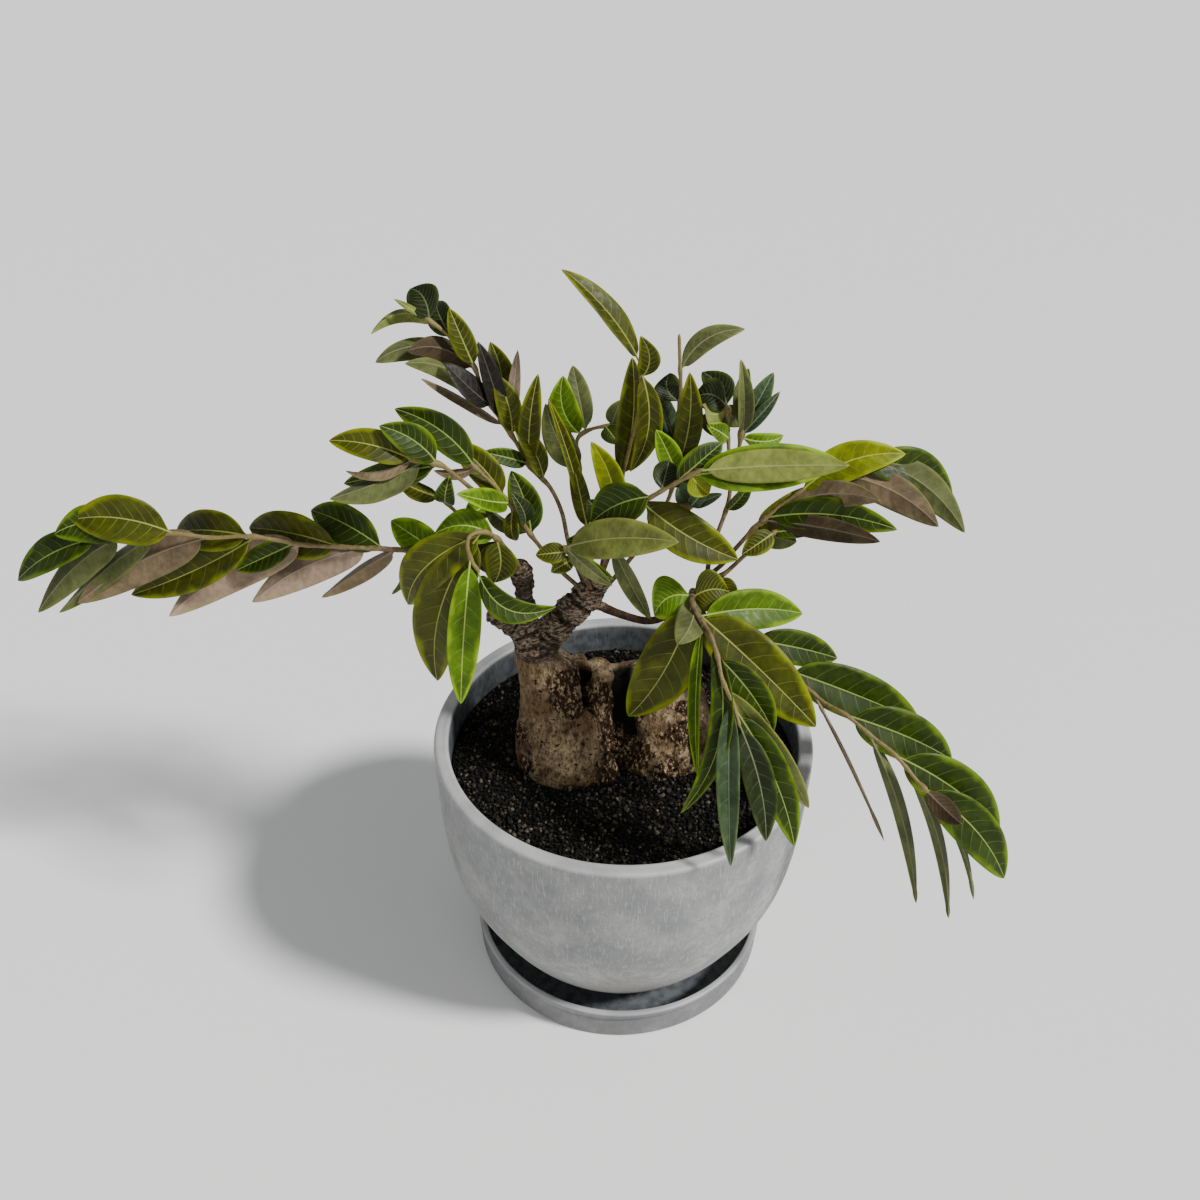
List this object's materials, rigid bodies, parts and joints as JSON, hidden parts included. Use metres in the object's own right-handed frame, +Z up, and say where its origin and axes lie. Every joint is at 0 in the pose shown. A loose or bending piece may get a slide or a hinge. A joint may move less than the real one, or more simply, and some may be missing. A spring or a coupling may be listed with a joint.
{
  "type": "phyllanthus mirabilis bonsai",
  "caption": "Potted bonsai with a swollen forked caudex, short bark-ringed trunks and long arching sprays of pointed leaves, in a round grey pot on a saucer.",
  "frame": {"origin": "centre of the saucer's flat underside", "axes": "+Z up through the middle of the pot, -Y towards the front that the picture shows, +X to its right"},
  "size_m": [0.5032, 0.2115, 0.4132],
  "materials": {
    "saucer": "matte",
    "pot": "matte",
    "soil": "matte",
    "bark": "matte",
    "leaf_deep": "satin",
    "leaf_bright": "satin",
    "leaf_olive": "satin",
    "leaf_purple": "satin"
  },
  "bodies": {
    "root": {"saucer": "saucer", "pot": "pot", "soil": "soil", "caudex": "bark", "spray_long_left": "leaf_deep", "spray_hang_left": "leaf_bright", "spray_mid_left": "leaf_purple", "spray_upper_left": "leaf_purple", "spray_back_centre": "leaf_olive", "spray_tall_centre": "leaf_olive", "spray_upright_right": "leaf_deep", "spray_fore_right": "leaf_deep", "spray_hang_centre": "leaf_olive", "spray_right": "leaf_bright", "spray_hang_right": "leaf_deep", "spray_lower_right": "leaf_deep"}
  },
  "joints": []
}
